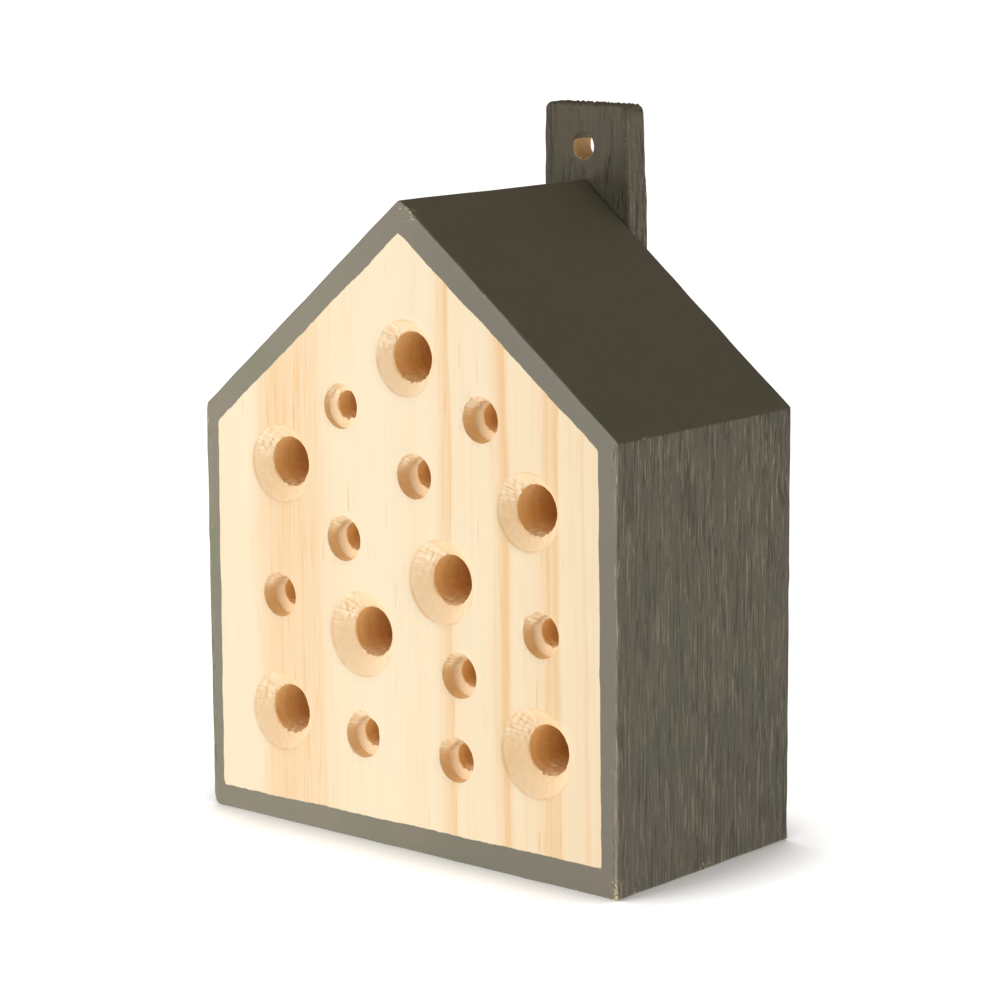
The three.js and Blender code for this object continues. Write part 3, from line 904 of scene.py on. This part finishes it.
def pine_colour(shader, place):
    """Planed pine: cream early wood, tan late-wood bands, fine fibres, thin lines and resin canals."""
    bands = shader.profile(band_place(shader, place), GRAIN_BANDS)
    fibres = shader.swing(shader.noise(place, (1.6, 1.6, 0.03), 4.0, 0.65), 0.9)
    cloud = shader.swing(shader.noise(place, (0.06, 0.06, 0.02), 2.0), 0.3)
    lines = shader.noise(place, (0.55, 0.55, 0.012), 2.0, 0.5)
    lines = shader.math("ABSOLUTE", shader.minus(lines, 0.5))
    lines = shader.step(lines, 0.0, 0.035, 1.0, 0.0)
    lines = shader.times(lines, shader.times(shader.plus(bands, 0.1), 0.7))
    strength = shader.plus(bands, shader.times(fibres, shader.plus(bands, 0.3)))
    strength = shader.plus(strength, lines)
    strength = shader.math("ADD", strength, cloud, clamp=True)
    wood = shader.blend(strength, EARLY_WOOD, LATE_WOOD)
    canals = shader.noise(place, (2.0, 2.0, 0.06), 1.0, 0.3)
    dashes = shader.step(canals, 0.745, 0.80, 0.0, 0.6)
    return shader.blend(dashes, wood, RESIN_DASH)


def torn_strokes(shader):
    """Strokes that run down the wall of a hole, side by side round it."""
    wall = shader.add("ShaderNodeCombineXYZ", {"X": shader.value("around"), "Y": shader.value("depth")})
    return shader.noise(wall, (2.0, 0.25, 1), 3.0, 0.6, 0.6)


def cut_pine_colour(shader, place, strokes):
    """The pine where a drill has cut it: pinkish on the cones, browner down the bores and darker still
    deeper down, burnt and in painted shade, with a burnished line at the rim, and pale fibres where it tore
    with painted shade between them."""
    wood = pine_colour(shader, place)
    drilled, torn = shader.value("drilled"), shader.value("torn")
    speckle = shader.noise(place, (1.6, 1.0, 0.7), 3.0, 0.7)
    speckle = shader.step(speckle, 0.25, 0.75, 0.55, 0.95)
    wood = shader.blend(shader.times(shader.step(drilled, 0.0, 0.5), speckle), wood, CUT_WOOD)
    rim = shader.times(shader.step(drilled, 0.0, 0.2, 0.0, 0.5), shader.step(drilled, 0.3, 0.5, 1.0, 0.0))
    rim = shader.times(rim, shader.step(shader.noise(place, (0.25, 0.25, 0.25), 2.0), 0.35, 0.6))
    wood = shader.blend(rim, wood, BURNISH_AND_FIBRE_SHADE)
    lengthwise = shader.step(shader.noise(place, (0.9, 0.15, 0.9), 3.0, 0.6), 0.3, 0.7, 0.75, 1.0)
    bore = shader.times(shader.step(drilled, 0.5, 1.0), lengthwise)
    # Darker deeper down the bores: burnt wood and painted shade.
    bore_wood_and_shade = shader.blend(shader.step_linear(shader.value("depth"), 3.5, 15.0), BORE_WOOD, DEEP_BURN_AND_SHADE)
    wood = shader.blend(bore, wood, bore_wood_and_shade)
    wood = shader.blend(shader.times(torn, 0.5), wood, TORN_WOOD)
    pale = shader.times(torn, shader.step(strokes, 0.51, 0.59, 0.0, 0.85))
    wood = shader.blend(pale, wood, PALE_FIBRE)
    # Painted shade between the torn fibres, where the strokes dip.
    shaded = shader.times(torn, shader.step(strokes, 0.38, 0.46, 0.5, 0.0))
    return shader.blend(shaded, wood, BURNISH_AND_FIBRE_SHADE)


def paint_cover(shader, place):
    """1 under paint and 0 on bare wood. The edge of the paint bleeds a little along the grain."""
    bleed = shader.noise(place, (0.5, 0.5, 0.12), 3.0, 0.6)
    wobble = shader.noise(place, (0.09, 0.09, 0.09), 2.0)
    ragged = shader.swing(bleed, 0.55)
    hand = shader.swing(wobble, 0.8)
    edge = shader.plus(shader.value("border"), shader.plus(ragged, hand))
    return shader.step(edge, -0.1, 0.1)


def wear(shader, place):
    """Thin worn lines and the odd fleck along the edges, and paint flaked off where it has chipped."""
    patch = shader.noise(place, (0.12, 0.12, 0.12), 2.0)
    fleck = shader.noise(place, (1.4, 1.4, 1.4), 3.0, 0.7)
    mark = shader.plus(shader.times(patch, 0.7), shader.times(fleck, 0.6))
    mark = shader.times(mark, shader.step(shader.value("edge"), 0.3, 1.0))
    flake = shader.plus(fleck, shader.times(shader.value("chipped"), 0.31))
    return shader.math("MAXIMUM", shader.step(mark, 0.80, 0.87), shader.step(flake, 0.80, 0.87))


def thin_lines(shader, place, frequency, width, gaps):
    """Wavering lines along the grain, broken along their length: 1 on a line and 0 off it."""
    level = shader.noise(place, frequency, 2.0, 0.5, 0.5)
    away = shader.math("ABSOLUTE", shader.minus(level, 0.5))
    line = shader.step(away, width * 0.25, width, 1.0, 0.0)
    parts = shader.noise(place, gaps, 3.0, 0.6)
    return shader.times(line, shader.step(parts, 0.43, 0.52))


def tinted(colour, tint):
    """A colour with its red, green and blue each scaled."""
    return tuple(channel * share for channel, share in zip(colour, tint)) + (1,)


def paint_colour(shader, place, paint, cracked):
    """Satin paint with pale streaks where it has dried off the grain, flaked patches and dark splits where
    it is weathered. It also takes painted shade where asked and down the low streaks of the grain; the pale
    streaks are partly painted sheen and the flaked patches partly painted glints. Also gives the height of
    its relief."""
    weathered, flaky = shader.value("weathered"), shader.value("flaky")
    mottle = shader.noise(place, (0.05, 0.05, 0.045), 4.0, 0.6)
    warm, cool = tinted(paint, (1.09, 1.0, 1.03)), tinted(paint, (0.92, 0.97, 0.92))
    colour = shader.blend(shader.step_linear(mottle, 0.35, 0.65), cool, warm)
    # Painted shade, darkening the paint towards the colour of its cracks.
    painted_shade_share = shader.times(shader.value("coat"), 0.42)
    colour = shader.blend(painted_shade_share, colour, CRACK_AND_SHADE)
    streaks = shader.noise(place, (1.7, 1.7, 0.075), 4.0, 0.62, 0.9)
    # Painted shade down the low streaks of the grain, where the relief dips.
    hollow_shade = shader.times(shader.step(streaks, 0.34, 0.46, 0.32, 0.0), weathered)
    colour = shader.blend(hollow_shade, colour, CRACK_AND_SHADE)
    # Pale streaks along the grain: partly paint shed from the raised grain, partly painted sheen.
    pale_streaks_and_sheen = thin_lines(shader, place, (2.3, 2.3, 0.05), 0.07, (0.9, 0.9, 0.1))
    pale_streaks_and_sheen = shader.times(shader.times(pale_streaks_and_sheen, weathered), 0.85)
    colour = shader.blend(pale_streaks_and_sheen, colour, DRY_STREAK_AND_SHEEN)
    # Pale flaked patches, partly flaked paint and partly painted glints.
    flake_and_glint_share = shader.step(shader.noise(place, (1.9, 1.9, 1.0), 3.0, 0.65, 1.2), 0.58, 0.63, 0.0, 0.7)
    flake_and_glint_share = shader.times(flake_and_glint_share, flaky)
    colour = shader.blend(flake_and_glint_share, colour, FLAKE_AND_GLINT)
    crack = thin_lines(shader, place, (0.6, 0.6, 0.035), 0.035, (0.4, 0.4, 0.07))
    crack = shader.times(crack, cracked)
    crack = shader.times(crack, shader.step(weathered, 0.08, 0.2))
    colour = shader.blend(crack, colour, CRACK_AND_SHADE)
    raised = shader.plus(shader.plus(pale_streaks_and_sheen, flake_and_glint_share), shader.times(streaks, 0.7))
    raised = shader.times(shader.minus(raised, crack), weathered)
    brush = shader.noise(place, (0.5, 0.5, 0.5), 3.0, 0.5)
    return colour, shader.plus(raised, shader.times(brush, 0.12))


def painted_pine(name, paint, cracked):
    """Pine with paint over it, bare inside the rim and in the holes, and worn through at the edges."""
    shader = Shader(name)
    place = shader.place()
    cover, strokes = paint_cover(shader, place), torn_strokes(shader)
    colour, paint_height = paint_colour(shader, place, paint, cracked)
    colour = shader.blend(wear(shader, place), colour, WORN_WOOD)
    colour = shader.blend(cover, cut_pine_colour(shader, place, strokes), colour)
    roughness = shader.step_linear(cover, 0.0, 1.0)
    roughness = shader.minus(0.68, shader.times(roughness, 0.14))
    fibre = shader.times(shader.noise(place, (2.2, 2.2, 0.09), 3.0, 0.6), 0.1)
    torn = shader.times(shader.value("torn"), 0.35)
    wood_height = shader.plus(fibre, shader.times(strokes, torn))
    height = shader.mix(cover, wood_height, paint_height)
    normal = shader.add("ShaderNodeBump", {"Height": height, "Strength": 0.9, "Distance": 0.35 * MM})
    inputs = {"Base Color": colour, "Roughness": roughness, "Normal": normal}
    return shader.finish(shader.add("ShaderNodeBsdfPrincipled", inputs))


def zinc(name):
    """Bright zinc plate, a little stained."""
    shader = Shader(name)
    place = shader.place()
    stain = shader.noise(place, (0.6, 0.6, 0.6), 4.0, 0.6)
    colour = shader.blend(stain, (0.50, 0.50, 0.48, 1), (0.66, 0.66, 0.67, 1))
    roughness = shader.step(stain, 0.3, 0.7, 0.42, 0.26)
    scratch = shader.noise(place, (3, 0.4, 3), 2.0)
    normal = shader.add("ShaderNodeBump", {"Height": scratch, "Strength": 0.15, "Distance": 0.05 * MM})
    inputs = {"Base Color": colour, "Roughness": roughness, "Normal": normal, "Metallic": 1.0}
    return shader.finish(shader.add("ShaderNodeBsdfPrincipled", inputs))


# ================ the studio

FLOOR_REACH = 14
# How brightly the floor glows for everything but the camera.
FLOOR_FILL = 0.62
KEY_AIM = Vector((-50 * MM, FRONT_Y, 30 * MM))
ROOM_COLOUR = (1, 0.91, 0.75, 1)
ROOM_STRENGTH = 0.24


def white_floor():
    """A pale floor that shines like a product table lit from below. For the camera it dims by ambient
    occlusion where something stands on it: a painted shadow round its foot.
    """
    shader = Shader("studio_white")
    # Painted shadow: ambient occlusion dims the floor's light for the camera near anything standing on it.
    contact_shadow = shader.add("ShaderNodeAmbientOcclusion", {"Distance": 34 * MM}, output="AO", samples=8)
    seen = shader.add("ShaderNodeLightPath", output="Is Camera Ray")
    glow_with_painted_shadow = shader.step(contact_shadow, 0.45, 0.97, 0.22, 0.95)
    glow_with_painted_shadow = shader.mix(seen, FLOOR_FILL, glow_with_painted_shadow)
    inputs = {"Base Color": grey(0.8), "Roughness": 0.9, "Specular IOR Level": 0.1,
              "Emission Color": grey(1), "Emission Strength": glow_with_painted_shadow}
    material = shader.finish(shader.add("ShaderNodeBsdfPrincipled", inputs))
    mesh = bpy.data.meshes.new("floor")
    corners = [(x * FLOOR_REACH, y * FLOOR_REACH, 0) for x, y in ((-1, -1), (1, -1), (1, 1), (-1, 1))]
    mesh.from_pydata(corners, [], [(0, 1, 2, 3)])
    mesh.materials.append(material)
    floor = bpy.data.objects.new("floor", mesh)
    bpy.context.scene.collection.objects.link(floor)


def soft_box(name, azimuth, elevation, aim, distance, size, power, spread):
    """A square light that faces aim. Angles are in degrees: see direction."""
    light = bpy.data.lights.new(name, "AREA")
    light.shape = "SQUARE"
    light.size = size
    light.energy = power
    light.spread = math.radians(spread)
    lamp = bpy.data.objects.new(name, light)
    lamp.location = aim + distance * direction(math.radians(azimuth), math.radians(elevation))
    lamp.rotation_euler = (aim - lamp.location).to_track_quat("-Z", "Y").to_euler()
    bpy.context.scene.collection.objects.link(lamp)
    return lamp


def shade(piece, lamp):
    """Keeps a lamp off a piece, as a card held in its light would."""
    shaded = bpy.data.collections.new("shaded")
    shaded.objects.link(piece)
    lamp.light_linking.receiver_collection = shaded
    shaded.collection_objects[0].light_linking.link_state = "EXCLUDE"


def direction(azimuth, elevation):
    """Towards a viewer: azimuth 0 is ahead of the front, 90 degrees is the object's right side."""
    return Vector((math.sin(azimuth) * math.cos(elevation), -math.cos(azimuth) * math.cos(elevation),
                   math.sin(elevation)))


def room_light(colour, strength):
    """Even light from all round."""
    world = bpy.data.worlds.new("room")
    world.use_nodes = True
    background = world.node_tree.nodes["Background"]
    background.inputs["Color"].default_value = colour
    background.inputs["Strength"].default_value = strength
    bpy.context.scene.world = world


def add_camera():
    """The viewer, looking at VIEW_AIM."""
    towards = direction(VIEW_AZIMUTH, VIEW_ELEVATION)
    data = bpy.data.cameras.new("view")
    data.lens = VIEW_LENS
    camera = bpy.data.objects.new("view", data)
    turn = towards.to_track_quat("Z", "Y") @ Matrix.Rotation(VIEW_ROLL, 4, "Z").to_quaternion()
    camera.rotation_mode = "QUATERNION"
    camera.rotation_quaternion = turn
    camera.location = VIEW_AIM + towards * VIEW_DISTANCE
    bpy.context.scene.collection.objects.link(camera)
    bpy.context.scene.camera = camera


# ================ assembly

add_camera()
bpy.context.scene.view_settings.view_transform = "Standard"
white_floor()
key = soft_box("key", azimuth=-18, elevation=14, aim=KEY_AIM, distance=0.7, size=0.5, power=1.62, spread=100)
room_light(ROOM_COLOUR, ROOM_STRENGTH)

block_finish = painted_pine("painted_pine", BLOCK_PAINT, cracked=0.5)
slat_finish = painted_pine("painted_slat", SLAT_PAINT, cracked=0.6)
zinc_finish = zinc("zinc_plate")

block = drilled_block(block_finish)
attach(block, BODY)
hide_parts("drilled_block")

slat = hanging_slat(slat_finish)
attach(slat, BODY)
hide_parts("hanging_slat")
shade(slat, key)

for screw_name in SCREW_NAMES:
    for slot in frame["nodes"][screw_name].material_slots:
        slot.material = zinc_finish
